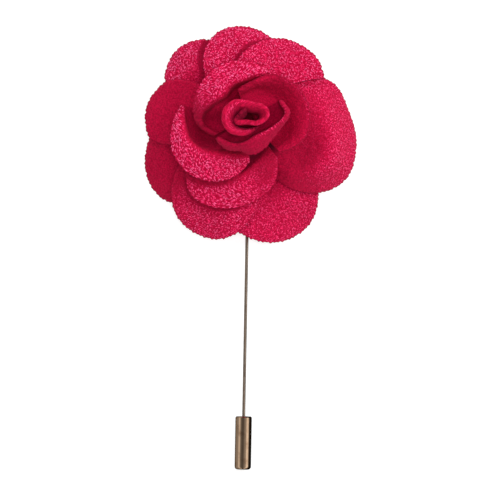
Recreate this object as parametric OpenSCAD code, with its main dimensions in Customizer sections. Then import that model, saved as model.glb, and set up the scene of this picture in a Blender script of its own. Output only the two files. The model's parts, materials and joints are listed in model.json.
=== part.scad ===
// Flower lapel pin: a cloth flower on a straight needle with a barrel cap on its point.
// It lies on its back: the flower faces +Z and the needle runs towards -Y, level with the floor at z = 0.
// Angles of petals are counted around the bud's axis, from +X towards +Y.

/* [Flower] */
// Radius of the round that the outer petals fill
flower_r = 24; // [20:0.5:30]
// Sideways place of the round's centre, from the bud's axis
round_x = 0.85; // [-2:0.05:2]
// Place of the round's centre along the needle, from the bud's axis
round_y = -3.5; // [-5:0.1:0]
// Height of the tallest inner petal above its own base
cup_h = 6; // [4:0.25:8]

/* [Cloth] */
// Thickness of the petals' cloth
cloth_t = 1; // [0.6:0.05:1.2]
// Gap between one layer of cloth and the next
layer_gap = 0.3; // [0.2:0.05:0.6]
// Radius of the eyelet that the petals leave free around the axis
eyelet_r = 1.6; // [1.2:0.1:2.4]

/* [Outer petals] */
// Rise of the outer petals from their base to their crown
crown_rise = 0.55; // [0:0.05:1.5]
// Height of the lowest rims above the floor
rim_clear = 0.05; // [0:0.05:1]
// Share of the rim's fall that is left above the needle
needle_fall_share = 0.2; // [0:0.05:0.5]
// Height of the waves around the rim
wave_h = 0.25; // [0:0.05:0.4]
// Part of the rim's fall that each higher layer is spared
tier_ease = 0.1; // [0:0.01:0.15]

/* [Bud] */
// Height of the rolled bud
bud_h = 5.2; // [4:0.1:7]
// Width of the bud's foot, as a share of its top's
bud_foot = 0.76; // [0.7:0.01:1]

/* [Backing] */
// Diameter of the backing disc
backing_d = 26; // [20:1:32]
// Thickness of the backing disc
backing_t = 1; // [0.8:0.1:2]

/* [Needle] */
// Diameter of the needle
needle_d = 0.7; // [0.5:0.05:1.2]
// Length of the needle from the bud's axis to its point
needle_len = 75.8; // [50:0.1:90]
// Length of the needle's taper
taper_len = 8.5; // [4:0.5:12]
// Diameter of the blunted point
tip_d = 0.12; // [0.06:0.02:0.3]
// Sideways place of the needle, from the bud's axis
needle_x = 0.55; // [-1:0.05:1]
// Diameter of the round pad soldered to the needle
pad_d = 12; // [8:0.5:16]
// Thickness of the pad
pad_t = 0.5; // [0.4:0.05:1]
// Diameter of the solder along the needle, under the pad
solder_d = 1.6; // [1:0.1:2]
// Length of the solder, which ends at the pad's edge
solder_len = 10; // [6:0.5:12]
// Gap between the pad and the backing disc
seat_gap = 0.35; // [0.2:0.05:0.6]

/* [Cap] */
// Diameter of the barrel cap
cap_d = 3.7; // [3:0.1:6]
// Length of the barrel cap
cap_len = 12; // [8:0.5:16]
// Play between the needle and the cap's bore, all round
bore_play = 0.05; // [0.02:0.01:0.1]
// Room between the needle's point and the bore's end
tip_room = 0.6; // [0.3:0.1:2]
// Chamfer at the cap's mouth
mouth_chamfer = 0.25; // [0.1:0.05:0.5]
// Rounding of the cap's closed end
cap_round = 0.7; // [0.3:0.1:1.4]

/* [Hidden] */

// Heights, from the floor up: the cap lies on the floor and carries the needle's axis, and the pad's top
// covers the solder by pad_skin
pad_skin = 0.05;
needle_z = cap_d / 2;
pad_z = needle_z + solder_d / 2 + pad_skin - pad_t;
backing_z = pad_z + pad_t + seat_gap;
petal_z = backing_z + backing_t + layer_gap + cloth_t / 2;
pitch = cloth_t + layer_gap;

// Stations across a petal and from its neck to its rim
across = 15;
along = 10;
// Stations along the bud's roll and around round metal
roll_stations = 81;
round_fn = 48;
overlap = 0.1;

// Outer petals: from and to are angles, tier counts the layers up from the backing, neck is the width of the
// petal's neck as a share of its full width, and reach holds the rim's distance from the axis at even steps.
// Droop is an extra fall of the rim, greatest at the share droop_at across, and fold the height of a fold
// that stands up along the petal, highest at fold_at across. Distances and heights are shares of flower_r
FROM = 0;
TO = 1;
TIER = 2;
NECK = 3;
REACH = 4;
DROOP = 5;
DROOP_AT = 6;
FOLD = 7;
FOLD_AT = 8;
outer_table = [
    [51, 139, 2, 0.7, [0.50, 0.72, 0.825, 0.87, 0.855, 0.735, 0.50], 0, 0.5, 0, 0.5],
    [28, 105, 3, 0.35, [0.82, 0.87, 0.86, 0.825, 0.75, 0.64, 0.50], 0, 0.5, 0, 0.5],
    [-69, 43, 2, 0.7, [0.50, 0.89, 1.085, 1.06, 0.96, 0.87, 0.60], 0.117, 0.68, 0.14, 0.42],
    [-113, -27, 1, 0.7, [0.62, 0.98, 1.15, 1.20, 1.13, 0.90, 0.58], 0, 0.5, 0, 0.5],
    [209, 287, 2, 0.7, [0.60, 0.93, 1.12, 1.18, 1.14, 0.93, 0.50], 0, 0.5, 0, 0.5],
    [173, 241, 1, 0.7, [0.60, 0.84, 0.965, 1.06, 1.10, 1.05, 0.80], 0, 0.5, 0, 0.5],
    [143, 205, 2, 0.7, [0.50, 0.79, 0.89, 0.945, 0.95, 0.90, 0.60], 0, 0.5, 0, 0.5],
    [103, 169, 1, 0.7, [0.55, 0.79, 0.885, 0.922, 0.90, 0.82, 0.55], 0, 0.5, 0, 0.5]
];

// Inner petals: crest is the line where a petal's wall turns to its rim, and each of the two has its distance
// from the axis and its rise above the petal's base, at even steps. The foot is where the petal's floor turns
// up into its wall, foot_in inside the crest and foot_z above the base. Distances are shares of flower_r, and
// rises of cup_h
CREST_R = 3;
CREST_Z = 4;
RIM_R = 5;
RIM_Z = 6;
FOOT_IN = 7;
FOOT_Z = 8;
inner_table = [
    [64, 209, 5,
        [0.465, 0.38, 0.352, 0.325, 0.37, 0.43, 0.32], [0.54, 0.76, 0.88, 0.86, 0.74, 0.47, 0.32],
        [0.49, 0.53, 0.555, 0.542, 0.525, 0.475, 0.35], [0.48, 0.64, 0.70, 0.68, 0.60, 0.37, 0.28],
        [0.06, 0.06], [-0.20, -0.20, -0.22, -0.20, -0.08, 0.05, 0.10]],
    [-45, 109, 6,
        [0.40, 0.50, 0.505, 0.49, 0.415, 0.30, 0.24], [0.30, 0.50, 0.56, 0.56, 0.54, 0.46, 0.36],
        [0.44, 0.57, 0.585, 0.562, 0.478, 0.348, 0.28], [0.46, 0.76, 0.85, 0.86, 0.83, 0.71, 0.58],
        [0.11, 0.18, 0.19, 0.18, 0.12, 0.06, 0.04], [-0.20, -0.18, -0.16, -0.12, -0.02, 0.08, 0.10]],
    [170, 275, 4,
        [0.60, 0.60, 0.585, 0.50, 0.42, 0.39, 0.37], [0.10, 0.42, 0.58, 0.62, 0.62, 0.52, 0.40],
        [0.625, 0.71, 0.765, 0.755, 0.69, 0.57, 0.41], [0.05, 0.33, 0.42, 0.46, 0.46, 0.42, 0.36],
        [0.09, 0.09], [-0.15, -0.15, -0.08, 0.08, 0.15, 0.15, 0.12]],
    [219, 309, 3,
        [0.50, 0.62, 0.63, 0.57, 0.48, 0.43, 0.37], [0.16, 0.22, 0.28, 0.33, 0.35, 0.37, 0.32],
        [0.72, 0.88, 0.89, 0.845, 0.765, 0.665, 0.47], [0.06, 0, 0, 0.02, 0.10, 0.24, 0.30],
        [0.09, 0.09], [0.06, 0.10, 0.12, 0.13, 0.13, 0.13, 0.10]],
    [215, 389, 7,
        [0.32, 0.29, 0.25, 0.218, 0.206, 0.226, 0.28, 0.37, 0.34],
        [0.48, 0.70, 0.86, 0.93, 0.95, 0.95, 0.94, 0.92, 0.82],
        [0.35, 0.35, 0.315, 0.35, 0.328, 0.312, 0.335, 0.405, 0.36],
        [0.36, 0.48, 0.60, 0.68, 0.70, 0.74, 0.78, 0.80, 0.76],
        [0.02, 0.02], [0.10, 0.10]]
];

// The bud's roll from its inner end to its outer one, seen from above, as shares of flower_r
roll = [
    [-0.01, 0.09], [-0.055, 0.045], [-0.10, 0], [-0.108, -0.032], [-0.07, -0.046], [0.005, -0.04],
    [0.10, -0.05], [0.175, -0.01], [0.20, 0.06], [0.15, 0.11], [0.06, 0.132], [-0.025, 0.145],
    [-0.112, 0.148], [-0.186, 0.095], [-0.217, 0.015], [-0.198, -0.07], [-0.14, -0.132], [-0.04, -0.155],
    [0.04, -0.145], [0.11, -0.12], [0.165, -0.08]
];

// The crown's shape: where it is highest, where its fall begins and ends, as shares of flower_r
CROWN_TOP = 0.7;
FALL_FROM = 0.55;
FALL_TO = 1.05;
FALL_BEND = 1.7;
WAVES = 5;
WAVE_AT = 245;
NEEDLE_AT = -87;
NEEDLE_WIDE = 16;
DROOP_FROM = 0.6;
DROOP_WIDE = 0.22;

// A fold's shape: its width across the petal, and its place and width from the neck to the rim, as shares
FOLD_WIDE = 0.28;
FOLD_OUT = 0.77;
FOLD_REACH = 0.17;

rim_fall = petal_z + crown_rise - cloth_t / 2 - wave_h - rim_clear;
bud_z = tier_z(len(inner_table) + 2) + crown_rise + cloth_t + layer_gap;

// Height of a tier's base
function tier_z(tier) = petal_z + (tier - 1) * pitch;

// Value at u, from 0 to 1, of a smooth curve through evenly spaced values
function smooth(values, u) =
    let (
        last = len(values) - 1,
        x = min(max(u * last, 0), last),
        i = min(floor(x), last - 1),
        f = x - i,
        a = i > 0 ? values[i - 1] : 2 * values[0] - values[1],
        b = values[i],
        c = values[i + 1],
        d = i < last - 1 ? values[i + 2] : 2 * values[last] - values[last - 1]
    )
    b + f / 2 * (c - a + f * (2 * a - 5 * b + 4 * c - d + f * (3 * (b - c) + d - a)));

// Angle between two directions, without sign
function turn_between(a, b) = abs((((a - b) % 360) + 540) % 360 - 180);

// Height of an outer petal's middle layer at an angle and a distance from the axis
function crown_z(deg, rho, tier) =
    let (
        q = norm([rho * cos(deg) - round_x, rho * sin(deg) - round_y]) / flower_r,
        over_needle = exp(-pow(turn_between(deg, NEEDLE_AT) / NEEDLE_WIDE, 2)),
        spared = (1 - (1 - needle_fall_share) * over_needle) * (1 - tier_ease * (tier - 1))
    )
    tier_z(tier)
    + crown_rise * pow(sin(90 * min(q / CROWN_TOP, 1)), 2)
    + wave_h * sin(WAVES * deg + WAVE_AT) * q * q
    - rim_fall * spared * pow(max(q - FALL_FROM, 0) / (FALL_TO - FALL_FROM), FALL_BEND);

// Grids of [angle, distance, height] through the middle of the cloth, one row for each station across
function outer_grid(row) =
    let (middle = (row[FROM] + row[TO]) / 2)
    [for (i = [0 : across - 1])
        let (
            s = i / (across - 1),
            rim_r = flower_r * smooth(row[REACH], s),
            rim_deg = row[FROM] + (row[TO] - row[FROM]) * s,
            droop = flower_r * row[DROOP] * exp(-pow((s - row[DROOP_AT]) / DROOP_WIDE, 2)),
            fold = flower_r * row[FOLD] * exp(-pow((s - row[FOLD_AT]) / FOLD_WIDE, 2))
        )
        [for (j = [0 : along - 1])
            let (
                t = j / (along - 1),
                deg = middle + (rim_deg - middle) * (row[NECK] + (1 - row[NECK]) * t),
                rho = eyelet_r + (rim_r - eyelet_r) * t,
                bent = pow(max(t - DROOP_FROM, 0) / (1 - DROOP_FROM), FALL_BEND),
                raised = exp(-pow((t - FOLD_OUT) / FOLD_REACH, 2))
            )
            [deg, rho, crown_z(deg, rho, row[TIER]) - droop * bent + fold * raised]
        ]
    ];

function inner_grid(row) =
    let (base = tier_z(row[TIER]) + crown_rise)
    [for (i = [0 : across - 1])
        let (
            s = i / (across - 1),
            deg = row[FROM] + (row[TO] - row[FROM]) * s,
            crest_r = flower_r * smooth(row[CREST_R], s),
            crest_up = cup_h * smooth(row[CREST_Z], s),
            rim_r = flower_r * smooth(row[RIM_R], s),
            rim_up = cup_h * smooth(row[RIM_Z], s),
            section = [
                [deg, eyelet_r, base],
                [deg, crest_r - flower_r * smooth(row[FOOT_IN], s), base + cup_h * smooth(row[FOOT_Z], s)],
                [deg, crest_r, base + crest_up],
                [deg, rim_r, base + rim_up]
            ]
        )
        [for (j = [0 : along]) smooth(section, j / along)]
    ];

// Point of a grid moved to one face of the cloth, in x, y and z
function face_point(line, j, side) =
    let (
        here = line[j],
        run = line[min(j + 1, len(line) - 1)] - line[max(j - 1, 0)],
        shift = side * cloth_t / 2 / norm([run[1], run[2]]),
        rho = here[1] - run[2] * shift
    )
    [rho * cos(here[0]), rho * sin(here[0]), here[2] + run[1] * shift];

function sheet_points(grid) = [
    for (side = [1, -1])
        for (line = grid)
            for (j = [0 : len(line) - 1])
                face_point(line, j, side)
];

// Faces of a closed sheet of rows by columns points on each of its two sides
function sheet_faces(rows, columns) =
    let (
        n = rows * columns,
        edge = [
            each [for (i = [0 : rows - 1]) i * columns],
            each [for (j = [1 : columns - 1]) (rows - 1) * columns + j],
            each [for (i = [rows - 2 : -1 : 0]) i * columns + columns - 1],
            each [for (j = [columns - 2 : -1 : 1]) j]
        ]
    )
    [
        for (i = [0 : rows - 2])
            for (j = [0 : columns - 2])
                let (
                    a = i * columns + j,
                    b = a + columns,
                    c = b + 1,
                    d = a + 1
                )
                each [[a, c, d], [a, b, c], [n + a, n + d, n + c], [n + a, n + c, n + b]],
        for (k = [0 : len(edge) - 1])
            let (
                p = edge[k],
                q = edge[(k + 1) % len(edge)]
            )
            each [[p, n + q, q], [p, n + p, n + q]]
    ];

module sheet(grid) {
    polyhedron(points = sheet_points(grid), faces = sheet_faces(len(grid), len(grid[0])), convexity = 8);
}

// The round's box, which the whole part is centred on
round_points = [for (row = outer_table) each sheet_points(outer_grid(row))];
round_xs = [for (p = round_points) p[0]];
round_ys = [for (p = round_points) p[1]];
mouth_y = needle_len - taper_len - overlap;
mid_x = (min(round_xs) + max(round_xs)) / 2;
mid_y = (max(round_ys) - mouth_y - cap_len) / 2;

module place() {
    translate([-mid_x, -mid_y, 0]) children();
}

module outer_petal(index) {
    color("crimson") place() sheet(outer_grid(outer_table[index]));
}

module inner_petal(index) {
    color("crimson") place() sheet(inner_grid(inner_table[index]));
}

module petal_top() outer_petal(0);
module petal_upper_right() outer_petal(1);
module petal_right() outer_petal(2);
module petal_lower_right() outer_petal(3);
module petal_lower_left() outer_petal(4);
module petal_left() outer_petal(5);
module petal_upper_left() outer_petal(6);
module petal_top_left() outer_petal(7);

module inner_upper_left() inner_petal(0);
module inner_right() inner_petal(1);
module inner_lower_left() inner_petal(2);
module inner_bottom() inner_petal(3);
module bud_wrap() inner_petal(4);

// The bud is one strip of cloth on edge, rolled along its path and narrower at its foot
module bud_coil() {
    path = [for (i = [0 : roll_stations - 1]) flower_r * smooth(roll, i / (roll_stations - 1))];
    last = roll_stations - 1;
    ways = [for (i = [0 : last]) path[min(i + 1, last)] - path[max(i - 1, 0)]];
    points = [
        for (i = [0 : last])
            for (corner = [[1, 0, bud_foot], [1, bud_h, 1], [-1, bud_h, 1], [-1, 0, bud_foot]])
                let (
                    side = corner[0] * cloth_t / 2 / norm(ways[i]),
                    here = path[i] * corner[2]
                )
                [here[0] - ways[i][1] * side, here[1] + ways[i][0] * side, bud_z + corner[1]]
    ];
    faces = [
        [0, 1, 2, 3],
        [for (k = [3 : -1 : 0]) last * 4 + k],
        for (i = [0 : last - 1])
            for (k = [0 : 3])
                let (
                    a = i * 4 + k,
                    b = i * 4 + (k + 1) % 4
                )
                each [[a, b + 4, b], [a, a + 4, b + 4]]
    ];
    color("crimson") place() polyhedron(points = points, faces = faces, convexity = 8);
}

module backing_disc() {
    color("firebrick") place()
        translate([0, 0, backing_z])
        cylinder(d = backing_d, h = backing_t, $fn = round_fn);
}

// Needle, solder and pad are soldered into one
module needle() {
    shank_len = needle_len - taper_len;
    color("silver") place()
        translate([needle_x, 0, 0]) {
            translate([0, 0, pad_z])
                cylinder(d = pad_d, h = pad_t, $fn = round_fn);
            translate([0, 0, needle_z])
                rotate([90, 0, 0]) {
                    cylinder(d = needle_d, h = shank_len, $fn = round_fn);
                    translate([0, 0, shank_len])
                        cylinder(d1 = needle_d, d2 = tip_d, h = taper_len, $fn = round_fn);
                    translate([0, 0, pad_d / 2 - solder_len])
                        cylinder(d = solder_d, h = solder_len, $fn = round_fn);
                }
        }
}

module barrel_cap() {
    cap_r = cap_d / 2;
    bore_d = needle_d + 2 * bore_play;
    bore_depth = taper_len + overlap + tip_room;
    outline = [
        [0, 0],
        [cap_r - mouth_chamfer, 0],
        [cap_r, mouth_chamfer],
        for (deg = [0 : 15 : 90])
            [cap_r - cap_round * (1 - cos(deg)), cap_len - cap_round * (1 - sin(deg))],
        [0, cap_len]
    ];
    color("tan") place()
        translate([needle_x, -mouth_y, needle_z])
        rotate([90, 0, 0])
        difference() {
            rotate_extrude($fn = round_fn) polygon(outline);
            translate([0, 0, -overlap])
                cylinder(d = bore_d, h = bore_depth + overlap, $fn = round_fn);
            translate([0, 0, -overlap])
                cylinder(
                    d1 = bore_d + 2 * (mouth_chamfer + overlap),
                    d2 = bore_d,
                    h = mouth_chamfer + overlap,
                    $fn = round_fn
                );
        }
}

petal_top();
petal_upper_right();
petal_right();
petal_lower_right();
petal_lower_left();
petal_left();
petal_upper_left();
petal_top_left();
inner_upper_left();
inner_right();
inner_lower_left();
inner_bottom();
bud_wrap();
bud_coil();
backing_disc();
needle();
barrel_cap();
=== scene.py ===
"""Looks of a cloth flower lapel pin: crinkled petals round a rolled bud, a needle and a barrel cap.

Shapes are worked out in millimetres from the bud's axis. The meshes are in metres, in the frame's place.
"""

from __future__ import annotations

import json
import logging
import math
from dataclasses import dataclass
from enum import Enum

import bpy
import numpy as np
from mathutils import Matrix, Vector

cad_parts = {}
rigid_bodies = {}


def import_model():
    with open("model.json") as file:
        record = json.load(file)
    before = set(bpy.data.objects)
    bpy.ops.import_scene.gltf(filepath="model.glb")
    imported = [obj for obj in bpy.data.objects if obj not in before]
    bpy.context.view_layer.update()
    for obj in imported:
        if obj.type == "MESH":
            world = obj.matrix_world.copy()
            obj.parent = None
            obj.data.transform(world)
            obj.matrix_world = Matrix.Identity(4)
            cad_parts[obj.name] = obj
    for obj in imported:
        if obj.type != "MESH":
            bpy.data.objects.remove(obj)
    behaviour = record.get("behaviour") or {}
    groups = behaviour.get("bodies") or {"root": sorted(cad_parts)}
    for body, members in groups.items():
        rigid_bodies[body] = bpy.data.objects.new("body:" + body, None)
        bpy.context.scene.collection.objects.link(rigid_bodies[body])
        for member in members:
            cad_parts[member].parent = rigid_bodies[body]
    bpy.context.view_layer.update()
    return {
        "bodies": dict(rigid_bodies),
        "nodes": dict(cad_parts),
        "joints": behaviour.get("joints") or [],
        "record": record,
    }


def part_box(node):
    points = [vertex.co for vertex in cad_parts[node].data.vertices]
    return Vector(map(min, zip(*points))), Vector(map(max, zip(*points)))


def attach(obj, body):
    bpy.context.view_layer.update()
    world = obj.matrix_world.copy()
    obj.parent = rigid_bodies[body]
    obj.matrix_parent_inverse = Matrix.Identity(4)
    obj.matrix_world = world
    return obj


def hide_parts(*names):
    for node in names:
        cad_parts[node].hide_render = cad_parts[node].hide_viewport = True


LOG = logging.getLogger("lapel_pin")
MM = 0.001
CLOTH_MAP = "cloth"
EDGE_LAYER = "cut_edge"
# Layer that says how far threads stand out and how much painted highlight they get.
NAP_AND_HIGHLIGHT_LAYER = "nap_and_highlight"
# Layer that says how much painted shade a point gets.
PAINTED_SHADE_LAYER = "painted_shade"
BODY = "root"

Colour = tuple[float, float, float, float]
Socket = bpy.types.NodeSocket


class Held(Enum):
    """The words for how a sheet of cloth is held."""

    GATHERED = "gathered"
    FOLDED = "folded"
    LAID = "laid"


def smooth(values: np.ndarray, u: np.ndarray) -> np.ndarray:
    """Follows a smooth curve through evenly spaced values.

    Args:
        values: The values, or rows of values, that the curve passes through.
        u: Places along the curve, from 0 to 1.

    Returns:
        The curve's value at each place.
    """
    v = np.asarray(values, float)
    last = len(v) - 1
    x = np.clip(np.asarray(u, float) * last, 0, last)
    i = np.minimum(x.astype(int), last - 1)
    f = (x - i).reshape(x.shape + (1,) * (v.ndim - 1))
    padded = np.concatenate([[2 * v[0] - v[1]], v, [2 * v[last] - v[last - 1]]])
    a, b, c, d = (padded[i + k] for k in range(4))
    return b + f / 2 * (c - a + f * (2 * a - 5 * b + 4 * c - d + f * (3 * (b - c) + d - a)))


def smoothstep(low: float, high: float, x: np.ndarray) -> np.ndarray:
    """Goes softly from 0 at low to 1 at high."""
    t = np.clip((x - low) / (high - low), 0, 1)
    return t * t * (3 - 2 * t)


def turn_between(a: np.ndarray, b: float) -> np.ndarray:
    """Angle in degrees between two directions, without sign."""
    return np.abs(((a - b) % 360 + 540) % 360 - 180)


def arc_lengths(points: np.ndarray, axis: int) -> np.ndarray:
    """Length of the surface along one axis of a grid of points.

    Args:
        points: Grid of points, with x, y and z in the last axis.
        axis: 0 to measure across the rows, or 1 to measure along them.

    Returns:
        The length from the first point to each point.
    """
    steps = np.linalg.norm(np.diff(points, axis=axis), axis=-1)
    start = np.zeros_like(np.take(steps, [0], axis=axis))
    return np.concatenate([start, np.cumsum(steps, axis=axis)], axis=axis)


def normals(points: np.ndarray) -> np.ndarray:
    """Unit normals of a grid of points."""
    n = np.cross(np.gradient(points, axis=0), np.gradient(points, axis=1))
    return n / np.maximum(np.linalg.norm(n, axis=-1, keepdims=True), 1e-9)


@dataclass(frozen=True)
class Ripples:
    """Irregular relief made of many small waves, the same on each run.

    Attributes:
        seed: Number that the waves' directions and phases come from.
        height: Typical height of the relief, in millimetres.
        shortest: Shortest wave, in millimetres.
        longest: Longest wave, in millimetres.
        count: How many waves are added up.
    """

    seed: int
    height: float
    shortest: float
    longest: float
    count: int = 28

    def at(self, u: np.ndarray, v: np.ndarray) -> np.ndarray:
        """Height of the relief at places on the flat cloth.

        Args:
            u: First coordinate of each place, in millimetres.
            v: Second coordinate of each place, in millimetres.

        Returns:
            The height at each place, in millimetres.
        """
        rng = np.random.default_rng(self.seed)
        angles = rng.uniform(0, 2 * math.pi, self.count)
        waves = 2 * math.pi / rng.uniform(self.shortest, self.longest, self.count)
        phases = rng.uniform(0, 2 * math.pi, self.count)
        total = sum(
            np.sin(w * (math.cos(a) * u + math.sin(a) * v) + p) for a, w, p in zip(angles, waves, phases)
        )
        return total * self.height * math.sqrt(2 / self.count)


class Tree:
    """A material's or world's node tree, built up call by call."""

    def __init__(self, owner: bpy.types.Material | bpy.types.World) -> None:
        """Empties the owner's node tree and keeps it."""
        owner.use_nodes = True
        self.nodes = owner.node_tree.nodes
        self.links = owner.node_tree.links
        self.nodes.clear()

    def add(self, kind: str, settings: dict | None = None, **inputs: object) -> bpy.types.Node:
        """Adds one node.

        Args:
            kind: The node's class name, without ShaderNode in front.
            settings: Values for the node's own properties.
            **inputs: A value or an output socket for each named input, with _ for a space. An input named
                in_ and a number is the input of that number.

        Returns:
            The new node.
        """
        node = self.nodes.new("ShaderNode" + kind)
        for key, value in (settings or {}).items():
            setattr(node, key, value)
        for key, value in inputs.items():
            socket = node.inputs[int(key[3:]) if key.startswith("in_") else key.replace("_", " ")]
            if isinstance(value, Socket):
                self.links.new(value, socket)
            else:
                socket.default_value = value
        return node

    def math(self, operation: str, a: object, b: object = 0.0, c: object = 0.0) -> Socket:
        """Adds a math node and returns its result."""
        return self.add("Math", {"operation": operation}, in_0=a, in_1=b, in_2=c).outputs[0]

    def ramp_between(self, value: Socket, low: float, high: float) -> Socket:
        """Adds a soft step from 0 at low to 1 at high and returns its result."""
        settings = {"interpolation_type": "SMOOTHSTEP"}
        low_high = {"From_Min": low, "From_Max": high}
        if low > high:
            low_high = {"From_Min": high, "From_Max": low, "To_Min": 1.0, "To_Max": 0.0}
        return self.add("MapRange", settings, Value=value, **low_high).outputs[0]

    def mix(self, share: object, a: object, b: object) -> Socket:
        """Adds a colour mix and returns its result."""
        return self.add("Mix", {"data_type": "RGBA"}, in_0=share, in_6=a, in_7=b).outputs[2]

    def surface(self, **inputs: object) -> None:
        """Adds the shader with these inputs and shows it on the surface."""
        shader = self.add("BsdfPrincipled", **inputs)
        self.add("OutputMaterial", Surface=shader.outputs[0])


def colour(red: float, green: float, blue: float) -> Colour:
    """Turns a colour as a screen shows it, from 0 to 255, into the linear one that shaders use."""
    shares = [c / 255 for c in (red, green, blue)]
    linear = [s / 12.92 if s <= 0.04045 else ((s + 0.055) / 1.055) ** 2.4 for s in shares]
    return (*linear, 1.0)


@dataclass(frozen=True)
class CrepeFinish:
    """Crinkled crepe cloth: short glossy threads over a deeper ground, with a sealed dark line at the cut.

    Attributes:
        name: The material's name.
        hollow_shade: Colour of the painted shade between raised threads.
        pit: Colour of the cloth's darker clouds.
        ground: Colour of the cloth.
        thread: Colour of the raised threads, partly their own and partly painted highlight.
        crown: Colour of the painted highlight on top of the highest threads.
        painted_shade: Colour of the painted shade deep down where the cloth is gathered, under other
            petals and at dark ends.
        seal: Colour of the cut edge.
        thread_w: Width of a raised thread, in millimetres.
        thread_l: Length of a raised thread, in millimetres.
        relief: Height of the threads, in millimetres.
        lowest: Height of the lowest threads, as a share of the highest.
        gloss: Roughness on top of a thread.
        matt: Roughness of the ground.
    """

    name: str
    hollow_shade: Colour = colour(158, 0, 42)
    pit: Colour = colour(147, 2, 40)
    ground: Colour = colour(178, 8, 53)
    thread: Colour = colour(224, 32, 88)
    crown: Colour = colour(246, 96, 150)
    painted_shade: Colour = colour(62, 0, 14)
    seal: Colour = colour(120, 0, 32)
    thread_w: float = 0.29
    thread_l: float = 0.56
    relief: float = 0.2
    lowest: float = 0.15
    gloss: float = 0.3
    matt: float = 0.95

    def threads(self, tree: Tree, place: Socket, turn: float, shift: float) -> Socket:
        """Adds one family of raised threads.

        Args:
            tree: The node tree to add to.
            place: The place on the cloth, in millimetres.
            turn: Direction of the threads, in degrees.
            shift: Offset that keeps one family apart from another.

        Returns:
            A value from 0 between the threads to 1 on top of one.
        """
        laid = tree.add(
            "Mapping",
            {"vector_type": "TEXTURE"},
            Vector=place,
            Location=(shift, -shift, 0),
            Rotation=(0, 0, math.radians(turn)),
            Scale=(self.thread_w, self.thread_l, 1),
        )
        flat = {"voronoi_dimensions": "2D", "feature": "F1"}
        cells = tree.add("TexVoronoi", flat, Vector=laid.outputs[0], Scale=1.0)
        parts = tree.add("SeparateColor", Color=cells.outputs["Color"])
        ridge = tree.ramp_between(cells.outputs["Distance"], 0.54, 0.14)
        stands = tree.add("MapRange", Value=parts.outputs[0], To_Min=self.lowest).outputs[0]
        return tree.math("MULTIPLY", ridge, stands)

    def material(self) -> bpy.types.Material:
        """Builds the cloth's material."""
        made = bpy.data.materials.new(self.name)
        tree = Tree(made)
        flat = tree.add("UVMap", {"uv_map": CLOTH_MAP}).outputs[0]
        plane = {"noise_dimensions": "2D"}
        warp = tree.add("TexNoise", plane, Vector=flat, Scale=0.9, Detail=2.0).outputs["Color"]
        centred = tree.add("VectorMath", {"operation": "SUBTRACT"}, in_0=warp, in_1=(0.5,) * 3).outputs[0]
        bent = tree.add("VectorMath", {"operation": "SCALE"}, in_0=centred, Scale=0.7).outputs[0]
        place = tree.add("VectorMath", {"operation": "ADD"}, in_0=flat, in_1=bent).outputs[0]
        lean = tree.add("TexNoise", plane, Vector=flat, Scale=0.3, Detail=1.0).outputs[0]
        leans = tree.ramp_between(lean, 0.46, 0.54)
        left = tree.math("MULTIPLY", self.threads(tree, place, 42, 0.0), leans)
        across = tree.math("SUBTRACT", 1.0, leans)
        right = tree.math("MULTIPLY", self.threads(tree, place, -44, 7.3), across)
        crossed = tree.math("ADD", left, right)
        nap_and_highlight = tree.add("Attribute", {"attribute_name": NAP_AND_HIGHLIGHT_LAYER}).outputs["Fac"]
        fine = tree.add("TexNoise", plane, Vector=place, Scale=2.6, Detail=3.0).outputs[0]
        ground = tree.mix(tree.ramp_between(fine, 0.36, 0.62), self.pit, self.ground)
        # The threads' colour and pink crown are painted highlight, and the hollows between them painted
        # shade, both only as far as the threads stand out.
        lift = tree.math("MULTIPLY", crossed, nap_and_highlight)
        between = tree.math("MULTIPLY", tree.ramp_between(crossed, 0.14, 0.0), nap_and_highlight)
        sunk = tree.mix(between, ground, self.hollow_shade)
        raised = tree.mix(tree.ramp_between(lift, 0.02, 0.3), sunk, self.thread)
        weave_and_highlight = tree.mix(tree.ramp_between(lift, 0.3, 0.85), raised, self.crown)
        # Painted shade from its layer: gathered places, bands under petals above and dark ends.
        deep = tree.add("Attribute", {"attribute_name": PAINTED_SHADE_LAYER}).outputs["Fac"]
        gathered = tree.mix(deep, weave_and_highlight, self.painted_shade)
        edge = tree.add("Attribute", {"attribute_name": EDGE_LAYER}).outputs["Fac"]
        dyed = tree.mix(edge, gathered, self.seal)
        stands = tree.math("MULTIPLY", crossed, tree.math("MULTIPLY_ADD", nap_and_highlight, 0.7, 0.3))
        height = tree.math("ADD", stands, tree.math("MULTIPLY", fine, 0.4))
        bump = tree.add("Bump", Strength=1.0, Distance=self.relief * MM, Height=height)
        rough = tree.add("MapRange", Value=lift, To_Min=self.matt, To_Max=self.gloss).outputs[0]
        tree.surface(
            Base_Color=dyed,
            Roughness=rough,
            Specular_IOR_Level=0.55,
            Specular_Tint=colour(255, 150, 210),
            Normal=bump.outputs[0],
        )
        return made


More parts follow.
